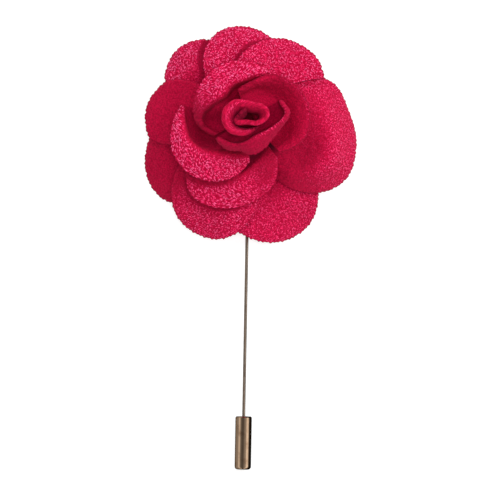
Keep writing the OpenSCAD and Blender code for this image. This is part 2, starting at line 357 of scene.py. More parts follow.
@dataclass(frozen=True)
class FeltFinish:
    """Felted cloth of the backing, with short matted fibres.

    Attributes:
        name: The material's name.
        deep: Colour between the fibres.
        fibre: Colour of the fibres.
        fibre_mm: Typical width of a tuft, in millimetres.
        relief: Height of the tufts, in millimetres.
    """

    name: str
    deep: Colour = colour(104, 4, 28)
    fibre: Colour = colour(168, 16, 52)
    fibre_mm: float = 0.35
    relief: float = 0.1

    def material(self) -> bpy.types.Material:
        """Builds the felt's material."""
        made = bpy.data.materials.new(self.name)
        tree = Tree(made)
        place = tree.add("TexCoord").outputs["Object"]
        scale = 1 / (self.fibre_mm * MM)
        tufts = tree.add("TexNoise", Vector=place, Scale=scale, Detail=5.0, Distortion=1.4)
        clouds = tree.add("TexNoise", Vector=place, Scale=0.12 * scale, Detail=2.0)
        matted = tree.math("MULTIPLY", tufts.outputs[0], tree.math("ADD", clouds.outputs[0], 0.5))
        dyed = tree.mix(tree.ramp_between(matted, 0.3, 0.68), self.deep, self.fibre)
        bump = tree.add("Bump", Strength=0.8, Distance=self.relief * MM, Height=tufts.outputs[0])
        tree.surface(
            Base_Color=dyed,
            Roughness=0.95,
            Specular_IOR_Level=0.15,
            Sheen_Weight=0.35,
            Sheen_Roughness=0.6,
            Sheen_Tint=colour(235, 130, 150),
            Normal=bump.outputs[0],
        )
        return made


@dataclass(frozen=True)
class MetalFinish:
    """Polished or drawn metal with faint lines along the pin and soft handling marks.

    Attributes:
        name: The material's name.
        clean: Colour of the metal where it is polished.
        dull: Colour of the metal where it is tarnished.
        smoothest: Roughness of the polished metal.
        roughest: Roughness of the handled metal.
        line_mm: Spacing of the drawing lines round the metal, in millimetres.
        relief: Depth of the lines, in millimetres.
        edge: Tint of what the metal shows at a low angle.
    """

    name: str
    clean: Colour
    dull: Colour
    smoothest: float
    roughest: float
    line_mm: float
    relief: float
    edge: Colour = colour(24, 16, 10)

    def material(self) -> bpy.types.Material:
        """Builds the metal's material."""
        made = bpy.data.materials.new(self.name)
        tree = Tree(made)
        place = tree.add("TexCoord").outputs["Object"]
        drawn = tree.add("Mapping", Vector=place, Scale=(1.0, 0.03, 1.0))
        scale = 1 / (self.line_mm * MM)
        lines = tree.add("TexNoise", Vector=drawn.outputs[0], Scale=scale, Detail=2.0)
        marks = tree.add("TexNoise", Vector=place, Scale=0.5 / MM, Detail=4.0, Distortion=0.6)
        handled = tree.ramp_between(marks.outputs[0], 0.4, 0.75)
        tone = tree.mix(tree.math("MULTIPLY", handled, 0.7), self.clean, self.dull)
        shine = {"To_Min": self.smoothest, "To_Max": self.roughest}
        rough = tree.add("MapRange", Value=handled, **shine).outputs[0]
        bump = tree.add("Bump", Strength=0.5, Distance=self.relief * MM, Height=lines.outputs[0])
        tree.surface(
            Base_Color=tone,
            Metallic=1.0,
            Roughness=rough,
            Specular_Tint=self.edge,
            Normal=bump.outputs[0],
        )
        return made


@dataclass(frozen=True)
class Wrinkles:
    """Broad wrinkles with fine crinkles on top.

    Attributes:
        broad: Height, shortest and longest wave of the wrinkles, in millimetres.
        fine: Height, shortest and longest wave of the crinkles, in millimetres.
        seeds: What a piece's number is raised by for each of the two.
        count: How many waves the crinkles have.
    """

    broad: tuple[float, float, float]
    fine: tuple[float, float, float]
    seeds: tuple[int, int]
    count: int = 40

    def at(self, flat: np.ndarray, seed: int) -> np.ndarray:
        """Height of both together.

        Args:
            flat: Places on the flat cloth, in millimetres.
            seed: The piece's number.

        Returns:
            The height at each place, in millimetres.
        """
        u, v = flat[..., 0], flat[..., 1]
        broad = Ripples(seed + self.seeds[0], *self.broad).at(u, v)
        return broad + Ripples(seed + self.seeds[1], *self.fine, self.count).at(u, v)


def add_object(name: str, data: bpy.types.ID) -> bpy.types.Object:
    """Makes an object of a mesh, lamp or lens and adds it to the scene."""
    made = bpy.data.objects.new(name, data)
    bpy.context.scene.collection.objects.link(made)
    return made


def mesh_object(name: str, points: np.ndarray, faces: list) -> bpy.types.Object:
    """Makes an object from points in millimetres and faces, and adds it to the scene."""
    mesh = bpy.data.meshes.new(name)
    mesh.from_pydata((points * MM).tolist(), [], faces)
    return add_object(name, mesh)


@dataclass(frozen=True)
class Sheet:
    """A piece of cloth as a grid of points through its middle.

    Attributes:
        node: The node that the piece stands for.
        points: Grid of points from the axis, in millimetres, in rows across the piece.
        cloth: The same grid laid out flat on the cloth, in millimetres.
        thickness: Thickness of the cloth, in millimetres.
        nap_and_highlight: How far the cloth's threads stand out at each point and how much painted
            highlight they get, from 0 to 1.
        painted_shade: How much painted shade each point gets, from 0 to 1.
        rim_row: True if the piece's far edge is a cut one that the weave makes uneven.
        SEAL_W: Width of the dark line at a cut edge, in millimetres.
        THIN_SHARE: Thickness at a cut edge, as a share of the whole.
        THIN_W: How far from the edge the cloth is thinner, in millimetres.
        NICK_DEPTH: How far the weave moves the rim, in millimetres.
        NICK_PITCH: Spacing of the nicks along the rim, in millimetres.
        NICK_REACH: How far in from the rim they reach, in millimetres.
    """

    node: str
    points: np.ndarray
    cloth: np.ndarray
    thickness: float
    nap_and_highlight: np.ndarray
    painted_shade: np.ndarray
    rim_row: bool = True

    SEAL_W = 0.16
    THIN_SHARE = 0.42
    THIN_W = 1.1
    NICK_DEPTH = 0.11
    NICK_PITCH = 0.95
    NICK_REACH = 0.8

    def to_edge(self) -> np.ndarray:
        """Distance of each point from the nearest cut edge, in millimetres."""
        along = arc_lengths(self.points, 1)
        across = arc_lengths(self.points, 0)
        rim = along[:, -1:] - along if self.rim_row else np.full_like(along, np.inf)
        return np.minimum(rim, np.minimum(across, across[-1:] - across))

    def nicked(self, seed: int) -> np.ndarray:
        """Moves the rim in and out a little, as cut weave does.

        Args:
            seed: Number that the nicks' phases come from.

        Returns:
            The grid of points with its nicked rim.
        """
        rng = np.random.default_rng(seed)
        along = arc_lengths(self.points, 1)
        rim = arc_lengths(self.points[:, -1:], 0)
        wave = 2 * math.pi / self.NICK_PITCH * rim
        nick = np.sin(wave + rng.uniform(0, 6)) + 0.6 * np.sin(wave * 0.618 + rng.uniform(0, 6))
        nick = (nick + 0.5 * np.sin(wave * 0.37 + rng.uniform(0, 6))) * self.NICK_DEPTH
        out = np.gradient(self.points, axis=1)
        out /= np.maximum(np.linalg.norm(out, axis=-1, keepdims=True), 1e-9)
        reach = np.clip(1 - (along[:, -1:] - along) / self.NICK_REACH, 0, 1)
        return self.points + out * (nick * reach)[..., None]

    def build(self, place: np.ndarray, seed: int) -> bpy.types.Object:
        """Makes the closed mesh of the cloth.

        Args:
            place: The bud's axis on the floor, in millimetres.
            seed: Number that the rim's nicks come from.

        Returns:
            The new object, with the cloth's flat coordinates and its cut edge as layers.
        """
        middle = self.nicked(seed) if self.rim_row else self.points
        to_edge = self.to_edge()
        whole = smoothstep(0, self.THIN_W, to_edge)
        thick = self.thickness * (self.THIN_SHARE + (1 - self.THIN_SHARE) * whole)
        shift = normals(middle) * thick[..., None] / 2
        rows, columns = middle.shape[:2]
        n = rows * columns
        sides = np.concatenate([(middle + shift).reshape(-1, 3), (middle - shift).reshape(-1, 3)])
        index = np.arange(n).reshape(rows, columns)
        a, b, c, d = index[:-1, :-1], index[1:, :-1], index[1:, 1:], index[:-1, 1:]
        top = np.stack([a, b, c, d], -1).reshape(-1, 4)
        ring = np.concatenate([index[:, 0], index[-1, 1:], index[-2::-1, -1], index[0, -2:0:-1]])
        after = np.roll(ring, -1)
        wall = np.stack([ring, ring + n, after + n, after], -1)
        faces = np.concatenate([top, top[:, ::-1] + n, wall])
        made = mesh_object(self.node + "_cloth", sides + place, faces.tolist())
        mesh = made.data
        mesh.polygons.foreach_set("use_smooth", np.arange(len(faces)) < 2 * len(top))
        sealed = smoothstep(self.SEAL_W, self.SEAL_W / 3, to_edge)
        # The layers carry the cut edge's line, the threads with their painted highlight, and the painted
        # shade.
        for layer, values in ((EDGE_LAYER, sealed), (NAP_AND_HIGHLIGHT_LAYER, self.nap_and_highlight), (PAINTED_SHADE_LAYER, self.painted_shade)):
            both = np.tile(values.ravel(), 2)
            mesh.attributes.new(layer, "FLOAT", "POINT").data.foreach_set("value", both)
        flat = np.tile(self.cloth.reshape(-1, 2), (2, 1))
        mesh.uv_layers.new(name=CLOTH_MAP).data.foreach_set("uv", flat[faces.ravel()].ravel())
        mesh.update()
        return made


@dataclass(frozen=True)
class Shade:
    """The painted shadow beside a petal's rim on the petal that lies below it.

    Attributes:
        rim: Name of the petal that lies above.
        wide: Width of the band, as a share of the flower's radius.
        opens: Where along that rim the band starts and where it has its full width.
        closes: Where along that rim the band starts to fade and where it ends.
        deep: How dark the painted shadow is, from 0 to 1.
    """

    rim: str
    wide: float
    opens: tuple[float, float]
    closes: tuple[float, float]
    deep: float = 0.3


@dataclass(frozen=True)
class Glint:
    """A line along a petal where the threads stand out more and get a painted highlight.

    Attributes:
        height: How much more the threads stand out there and how much more painted highlight they get,
            from 0 to 1.
        at: Where from the axis to the rim the line lies.
        opens: Where across the petal it starts and where it is strongest.
        closes: Where across the petal it starts to fade and where it ends.
    """

    height: float
    at: float
    opens: tuple[float, float]
    closes: tuple[float, float] = (1.0, 1.1)


@dataclass(frozen=True)
class OuterPetal:
    """One petal of the outer ring, by the shape of its cut.

    Attributes:
        name: The node that the petal stands for, without its ending.
        start: Angle where the petal starts, in degrees.
        end: Angle where the petal ends, in degrees.
        tier: Layer of the petal, counted up from the backing.
        neck: Width of the petal's neck, as a share of its full width.
        reach: Distance of the rim from the axis, as shares of the flower's radius.
        droop: Extra fall of the rim, as a share of the flower's radius.
        droop_at: Where across the petal the extra fall is greatest.
        fold: Height of a fold that stands up along the petal, as a share of the flower's radius.
        fold_at: Where across the petal the fold is highest.
        curl: Extra rise of the petal's starting and ending sides, as shares of the flower's radius.
        under: The shade of the petal that lies over this one.
        nap_and_highlight_at: Where from the axis to the rim the inner part ends.
        nap_and_highlight: How far the threads stand out and how much painted highlight they get, from 0 to
            1: in the inner
        part at its start and at its end, and in the outer part at the start and from the middle on.
    """

    name: str
    start: float
    end: float
    tier: int
    neck: float
    reach: tuple[float, ...]
    droop: float = 0.0
    droop_at: float = 0.5
    fold: float = 0.0
    fold_at: float = 0.5
    curl: tuple[float, float] = (0.0, 0.0)
    under: Shade | None = None
    nap_and_highlight_at: float = 0.77
    nap_and_highlight: tuple[float, ...] = (0.9, 0.9, 1.0, 1.0)


@dataclass(frozen=True)
class InnerPetal:
    """One petal that stands up round the bud, by its crest and its rim.

    Attributes:
        name: The node that the petal stands for, without its ending.
        start: Angle where the petal starts, in degrees.
        end: Angle where the petal ends, in degrees.
        tier: Layer of the petal, counted up from the backing.
        crest_r: Distance of the crest from the axis, as shares of the flower's radius.
        crest_z: Rise of the crest above the petal's base, as shares of the cup's height.
        rim_r: Distance of the rim from the axis, as shares of the flower's radius.
        rim_z: Rise of the rim above the petal's base, as shares of the cup's height.
        foot_in: How far inside the crest the floor turns up, as shares of the flower's radius.
        foot_z: Rise of that turn above the petal's base, as shares of the cup's height.
        nap_and_highlight: How far the threads stand out and how much painted highlight they get, from 0 to
            1, inside the
        crest, outside it on the starting side, and outside it on the ending side.
        painted_shade: How much painted shade the gathered floor gets, from 0 to 1.
        tail: How much painted shade the ending side gets, from 0 to 1.
        under: The shade of the petal that lies over this one.
        glint: The line where the threads stand out more and get a painted highlight.
    """

    name: str
    start: float
    end: float
    tier: int
    crest_r: tuple[float, ...]
    crest_z: tuple[float, ...]
    rim_r: tuple[float, ...]
    rim_z: tuple[float, ...]
    foot_in: tuple[float, ...]
    foot_z: tuple[float, ...]
    nap_and_highlight: tuple[float, float, float] = (0.08, 1.0, 1.0)
    painted_shade: float = 0.25
    tail: float = 0.0
    under: Shade | None = None
    glint: Glint | None = None


OUTER_PETALS = (
    OuterPetal(
        "petal_top", 51, 139, 2, 0.7, (0.50, 0.72, 0.825, 0.87, 0.855, 0.735, 0.50),
        curl=(0.0, 0.05), under=Shade("petal_upper_right", 0.06, (0.66, 0.82), (0.95, 1.04)),
    ),
    OuterPetal(
        "petal_upper_right", 28, 105, 3, 0.35, (0.82, 0.87, 0.86, 0.825, 0.75, 0.64, 0.50),
        curl=(0.0, 0.05),
        nap_and_highlight=(0.8, 0.8, 0.9, 0.85),
    ),
    OuterPetal(
        "petal_right", -69, 43, 2, 0.7, (0.50, 0.89, 1.085, 1.06, 0.96, 0.87, 0.60),
        droop=0.117, droop_at=0.68, fold=0.14, fold_at=0.42, curl=(-0.035, 0.0),
        nap_and_highlight_at=0.73, nap_and_highlight=(0.0, 0.45, -0.2, 0.65),
    ),
    OuterPetal(
        "petal_lower_right", -113, -27, 1, 0.7, (0.62, 0.98, 1.15, 1.20, 1.13, 0.90, 0.58),
        nap_and_highlight_at=0.66, nap_and_highlight=(0.5, 0.0, 0.65, 0.6),
    ),
    OuterPetal(
        "petal_lower_left", 209, 287, 2, 0.7, (0.60, 0.93, 1.12, 1.18, 1.14, 0.93, 0.50),
        under=Shade("inner_bottom", 0.035, (0.0, 0.05), (0.35, 0.7), 0.2), nap_and_highlight=(-0.2, 0.6, -0.4, 0.75),
    ),
    OuterPetal(
        "petal_left", 173, 241, 1, 0.7, (0.60, 0.84, 0.965, 1.06, 1.10, 1.05, 0.80),
        nap_and_highlight=(0.0, 0.0, 0.1, 0.05),
    ),
    OuterPetal(
        "petal_upper_left", 143, 205, 2, 0.7, (0.50, 0.79, 0.89, 0.945, 0.95, 0.90, 0.60),
        nap_and_highlight=(0.1, 0.0, 0.15, 0.05),
    ),
    OuterPetal(
        "petal_top_left", 103, 169, 1, 0.7, (0.55, 0.79, 0.885, 0.922, 0.90, 0.82, 0.55),
        under=Shade("petal_top", 0.1, (0.55, 0.9), (1.0, 1.12)), nap_and_highlight=(0.7, 0.2, 1.0, 1.0),
    ),
)

INNER_PETALS = (
    InnerPetal(
        "inner_upper_left", 64, 209, 5,
        (0.465, 0.38, 0.352, 0.325, 0.37, 0.43, 0.32), (0.54, 0.76, 0.88, 0.86, 0.74, 0.47, 0.32),
        (0.49, 0.53, 0.555, 0.542, 0.525, 0.475, 0.35), (0.48, 0.64, 0.70, 0.68, 0.60, 0.37, 0.28),
        (0.06, 0.06), (-0.20, -0.20, -0.22, -0.20, -0.08, 0.05, 0.10),
        nap_and_highlight=(0.05, 1.0, 0.0), painted_shade=0.2, tail=0.4,
    ),
    InnerPetal(
        "inner_right", -45, 109, 6,
        (0.40, 0.50, 0.505, 0.49, 0.415, 0.30, 0.24), (0.30, 0.50, 0.56, 0.56, 0.54, 0.46, 0.36),
        (0.44, 0.57, 0.585, 0.562, 0.478, 0.348, 0.28), (0.46, 0.76, 0.85, 0.86, 0.83, 0.71, 0.58),
        (0.11, 0.18, 0.19, 0.18, 0.12, 0.06, 0.04), (-0.20, -0.18, -0.16, -0.12, -0.02, 0.08, 0.10),
        nap_and_highlight=(0.0, 0.1, 0.0), painted_shade=0.0, glint=Glint(0.5, 0.95, (0.08, 0.25), (0.5, 0.7)),
    ),
    InnerPetal(
        "inner_lower_left", 170, 275, 4,
        (0.60, 0.60, 0.585, 0.50, 0.42, 0.39, 0.37), (0.10, 0.42, 0.58, 0.62, 0.62, 0.52, 0.40),
        (0.625, 0.71, 0.765, 0.755, 0.69, 0.57, 0.41), (0.05, 0.33, 0.42, 0.46, 0.46, 0.42, 0.36),
        (0.09, 0.09), (-0.15, -0.15, -0.08, 0.08, 0.15, 0.15, 0.12), painted_shade=0.5,
    ),
    InnerPetal(
        "inner_bottom", 219, 309, 3,
        (0.50, 0.62, 0.63, 0.57, 0.48, 0.43, 0.37), (0.16, 0.22, 0.28, 0.33, 0.35, 0.37, 0.32),
        (0.72, 0.88, 0.89, 0.845, 0.765, 0.665, 0.47), (0.06, 0, 0, 0.02, 0.10, 0.24, 0.30),
        (0.09, 0.09), (0.06, 0.10, 0.12, 0.13, 0.13, 0.13, 0.10),
        nap_and_highlight=(0.06, 0.8, 0.15), painted_shade=0.8, tail=0.15, glint=Glint(0.4, 0.95, (0.6, 0.8)),
        under=Shade("inner_lower_left", 0.07, (0.25, 0.5), (0.8, 0.98)),
    ),
    InnerPetal(
        "bud_wrap", 215, 389, 7,
        (0.32, 0.29, 0.25, 0.218, 0.206, 0.226, 0.28, 0.37, 0.34),
        (0.48, 0.70, 0.86, 0.93, 0.95, 0.95, 0.94, 0.92, 0.82),
        (0.35, 0.35, 0.315, 0.35, 0.328, 0.312, 0.335, 0.405, 0.36),
        (0.36, 0.48, 0.60, 0.68, 0.70, 0.74, 0.78, 0.80, 0.76),
        (0.02, 0.02), (0.10, 0.10), nap_and_highlight=(0.0, 0.05, 0.15), glint=Glint(0.7, 0.68, (0.35, 0.6)),
    ),
)

RIMS = {p.name: (p.start, p.end, p.reach) for p in OUTER_PETALS}
RIMS |= {p.name: (p.start, p.end, p.rim_r) for p in INNER_PETALS}

ROLL = (
    (-0.01, 0.09), (-0.055, 0.045), (-0.10, 0.0), (-0.108, -0.032), (-0.07, -0.046), (0.005, -0.04),
    (0.10, -0.05), (0.175, -0.01), (0.20, 0.06), (0.15, 0.11), (0.06, 0.132), (-0.025, 0.145),
    (-0.112, 0.148), (-0.186, 0.095), (-0.217, 0.015), (-0.198, -0.07), (-0.14, -0.132), (-0.04, -0.155),
    (0.04, -0.145), (0.11, -0.12), (0.165, -0.08),
)
ROLL_HALF = (0.02, 0.06, 0.25, 0.24, 0.20, 0.40, 0.58, 0.60, 0.48, 0.20, 0.04)


@dataclass(frozen=True)
class Cloth:
    """Sizes that the flower's pieces share, in millimetres, with the values of the frame's solids.

    Attributes:
        place: The bud's axis on the floor.
        base_z: Height of the middle of the lowest petals at the axis.
        seen_t: Thickness of the cloth as it shows.
        solid_t: Thickness of the solids' cloth.
        layer_gap: Gap between one layer of the solids' cloth and the next.
        flower_r: Radius that the petals' reaches are shares of.
        cup_h: Height that the inner petals' heights are shares of.
        eyelet_r: Radius of the eyelet that the petals leave free around the axis.
        round_x: Sideways place of the whole flower's centre, from the axis.
        round_y: Place of the whole flower's centre along the needle, from the axis.
        crown_rise: Rise of the outer petals from their base to their crown.
        crown_top: Where the crown is highest, as a share of the flower's radius.
        rim_clear: Height of the lowest rims above the floor.
        needle_fall_share: Share of the rim's fall that is left above the needle.
        needle_at: Direction of the needle, in degrees.
        needle_wide: How far to each side of it the rim is held up, in degrees.
        tier_ease: Part of the rim's fall that each higher layer is spared.
        fall_from: Where the rim starts to fall, as a share of the flower's radius.
        fall_to: Where the fall is full, as a share of the flower's radius.
        fall_bend: Power by which the fall grows outwards.
        waves: How many waves go round the rim.
        wave_h: Height of the waves.
        wave_at: Phase of the waves, in degrees.
        nap_and_highlight_wide: Half the width of a change in the threads and their painted highlight, as a
            share of the way from axis to rim.
        step: Spacing of the points across a petal.
    """

    place: np.ndarray
    base_z: float
    seen_t: float = 0.68
    solid_t: float = 1.0
    layer_gap: float = 0.3
    flower_r: float = 24.0
    cup_h: float = 6.0
    eyelet_r: float = 1.6
    round_x: float = 0.85
    round_y: float = -3.5
    crown_rise: float = 0.55
    crown_top: float = 0.7
    rim_clear: float = 0.05
    needle_fall_share: float = 0.2
    needle_at: float = -87
    needle_wide: float = 16
    tier_ease: float = 0.1
    fall_from: float = 0.55
    fall_to: float = 1.05
    fall_bend: float = 1.7
    waves: int = 5
    wave_h: float = 0.25
    wave_at: float = 245
    nap_and_highlight_wide: float = 0.07
    step: float = 0.26

    @classmethod
    def from_frame(cls) -> Cloth:
        """Reads the bud's axis and the petals' height from the frame."""
        low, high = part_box("backing_disc")
        place = np.array([(low.x + high.x) / 2, (low.y + high.y) / 2, 0]) / MM
        return cls(place=place, base_z=high.z / MM + cls.layer_gap + cls.solid_t / 2)

    def tier_z(self, tier: int) -> float:
        """Height of a tier's base."""
        return self.base_z + (tier - 1) * (self.solid_t + self.layer_gap)

    def crown_z(self, deg: np.ndarray, rho: np.ndarray, tier: int) -> np.ndarray:
        """Height of an outer petal's middle layer.

        Args:
            deg: Angles round the axis, in degrees.
            rho: Distances from the axis.
            tier: Layer of the petal.

        Returns:
            The height at each place.
        """
        a = np.radians(deg)
        q = np.hypot(rho * np.cos(a) - self.round_x, rho * np.sin(a) - self.round_y) / self.flower_r
        over_needle = np.exp(-((turn_between(deg, self.needle_at) / self.needle_wide) ** 2))
        spared = (1 - (1 - self.needle_fall_share) * over_needle) * (1 - self.tier_ease * (tier - 1))
        rim_fall = self.base_z + self.crown_rise - self.solid_t / 2 - self.wave_h - self.rim_clear
        rise = self.crown_rise * np.sin(math.pi / 2 * np.minimum(q / self.crown_top, 1)) ** 2
        wave = self.wave_h * np.sin(np.radians(self.waves * deg + self.wave_at)) * q**2
        fall = np.maximum(q - self.fall_from, 0) / (self.fall_to - self.fall_from)
        return self.tier_z(tier) + rise + wave - rim_fall * spared * fall**self.fall_bend


def shaded(shade: Shade | None, deg: np.ndarray, share: np.ndarray) -> tuple[np.ndarray, np.ndarray]:
    """Works out where a petal lies in another's shade.

    Args:
        shade: The band of shade, if there is one.
        deg: Angles round the axis, in degrees.
        share: Distances from the axis, as shares of the flower's radius.

    Returns:
        How far the threads lie flat and lose their painted highlight there, and how dark the painted
        shadow is, both from 0 to 1.
    """
    if shade is None:
        return np.zeros_like(share), np.zeros_like(share)
    start, end, reach = RIMS[shade.rim]
    along = (deg - start) / (end - start)
    wide = np.maximum(shade.wide * smoothstep(*shade.opens, along), 0.001)
    beyond = (share - smooth(reach, np.clip(along, 0, 1))) / wide
    band = (1 - smoothstep(0.5, 1, beyond)) * (1 - smoothstep(*shade.closes, along))
    return band, shade.deep * band


def around(deg: np.ndarray, rho: np.ndarray, z: np.ndarray) -> np.ndarray:
    """Points in x, y and z from angles, distances from the axis and heights."""
    a = np.radians(deg)
    return np.stack([rho * np.cos(a), rho * np.sin(a), z], -1)


def stations(length: float, step: float, ends: bool) -> np.ndarray:
    """Places from 0 to 1 along a length, with close ones next to a cut edge.

    Args:
        length: The length, in millimetres.
        step: Spacing of the places, in millimetres.
        ends: True to add close places at both ends, or False at the far one only.

    Returns:
        The places, in order.
    """
    close = np.array([0.08, 0.2]) / length
    even = np.linspace(0, 1, max(int(length / step), 8) + 1)
    extra = [1 - close] + ([close] if ends else [])
    return np.unique(np.concatenate([even, *extra]))


def dress(made: bpy.types.Object, material: bpy.types.Material, node: str) -> None:
    """Gives a piece its material and its body, and hides the frame's solid that it stands for."""
    made.data.materials.append(material)
    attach(made, BODY)
    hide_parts(node)
    LOG.info("%s: %d faces", made.name, len(made.data.polygons))


@dataclass
class OuterRing:
    """The eight petals that lie round the flower.

    Attributes:
        cloth: Sizes that the petals share.
        finish: Looks of the petals.
        petals: Cuts of the petals.
        step_along: Spacing of the points from axis to rim, as a share of the spacing across.
        droop_from: Where from axis to rim an extra fall starts.
        droop_wide: How far across a petal the fall reaches.
        fold_out: Where from axis to rim a standing fold is highest.
        fold_reach: How far from axis to rim the fold reaches.
        fold_wide: How far across a petal the fold reaches.
        curl_from: Where from axis to rim a side starts to curl.
        curl_wide: How far across a petal the curl reaches.
        crease_r: Where the painted shade of the gathered middle starts to fade and where it ends, as
            shares of the radius.
        nap_and_highlight_rise: How far across a petal the threads of its outer part and their painted
            highlight change.
        loose_t: Where from axis to rim the wrinkles start and where they are full.
        apart: How far apart two petals lie on the cloth that they are cut from, in millimetres.
        wrinkles: The cloth's wrinkles.
    """

    cloth: Cloth
    finish: CrepeFinish
    petals: tuple[OuterPetal, ...] = OUTER_PETALS
    step_along: float = 1.6
    droop_from: float = 0.6
    droop_wide: float = 0.22
    fold_out: float = 0.77
    fold_reach: float = 0.17
    fold_wide: float = 0.28
    curl_from: float = 0.5
    curl_wide: float = 0.25
    crease_r: tuple[float, float] = (0.34, 0.48)
    nap_and_highlight_rise: float = 0.4
    loose_t: tuple[float, float] = (0.15, 0.6)
    apart: float = 11.7
    wrinkles: Wrinkles = Wrinkles(broad=(0.13, 6.0, 12.0), fine=(0.045, 1.3, 2.8), seeds=(0, 50))

    def bend(self, petal: OuterPetal, s: np.ndarray, t: np.ndarray) -> np.ndarray:
        """Works out how a petal droops, folds and curls.

        Args:
            petal: The petal's cut.
            s: Places across the petal, from 0 to 1.
            t: Places from the axis to the rim, from 0 to 1.

        Returns:
            The rise at each place, in millimetres.
        """
        fall = (np.maximum(t - self.droop_from, 0) / (1 - self.droop_from)) ** self.cloth.fall_bend
        droop = petal.droop * np.exp(-(((s - petal.droop_at) / self.droop_wide) ** 2)) * fall
        beside = ((s - petal.fold_at) / self.fold_wide) ** 2
        off_ridge = beside + ((t - self.fold_out) / self.fold_reach) ** 2
        at_start, at_end = petal.curl
        curl = at_start * np.exp(-((s / self.curl_wide) ** 2))
        curl = curl + at_end * np.exp(-(((1 - s) / self.curl_wide) ** 2))
        bent = petal.fold * np.exp(-off_ridge) - droop + curl * smoothstep(self.curl_from, 1, t)
        return self.cloth.flower_r * bent

    def sheet(self, petal: OuterPetal, seed: int) -> Sheet:
        """Works out one petal.

        Args:
            petal: The petal's cut.
            seed: Number that its wrinkles come from.

        Returns:
            The petal's cloth.
        """
        c = self.cloth
        width = math.radians(petal.end - petal.start) * max(petal.reach) * c.flower_r
        s = stations(width, c.step, ends=True)[:, None]
        t = stations(max(petal.reach) * c.flower_r, c.step * self.step_along, ends=False)[None, :]
        middle = (petal.start + petal.end) / 2
        rim_deg = petal.start + (petal.end - petal.start) * s
        deg = middle + (rim_deg - middle) * (petal.neck + (1 - petal.neck) * t)
        rho = c.eyelet_r + (c.flower_r * smooth(petal.reach, s) - c.eyelet_r) * t
        points = around(deg, rho, c.crown_z(deg, rho, petal.tier) + self.bend(petal, s, t))
        out = c.eyelet_r + arc_lengths(points, 1)
        turn = np.radians(deg - middle)
        flat = np.stack([out * np.cos(turn), out * np.sin(turn)], -1) + seed * self.apart
        points[..., 2] += self.wrinkles.at(flat, seed) * smoothstep(*self.loose_t, t)
        first, last, edge_first, edge_last = petal.nap_and_highlight
        inside = first + (last - first) * s
        outside = edge_first + (edge_last - edge_first) * smoothstep(0, self.nap_and_highlight_rise, s)
        outer_part = smoothstep(petal.nap_and_highlight_at - c.nap_and_highlight_wide, petal.nap_and_highlight_at + c.nap_and_highlight_wide, t)
        nap_and_highlight = inside + (outside - inside) * outer_part
        share = rho / c.flower_r
        # Under the petal above, the threads lie flat and lose their painted highlight.
        laid, dark = shaded(petal.under, deg, share)
        # Painted shade towards the gathered middle and in the painted shadow of the petal above.
        painted_shade = np.maximum(1 - smoothstep(*self.crease_r, share), dark)
        return Sheet(petal.name, points, flat, c.seen_t, nap_and_highlight * (1 - laid), painted_shade)

    def build(self) -> None:
        material = self.finish.material()
        for seed, petal in enumerate(self.petals, start=1):
            sheet = self.sheet(petal, seed)
            made = sheet.build(self.cloth.place, seed)
            dress(made, material, petal.name)


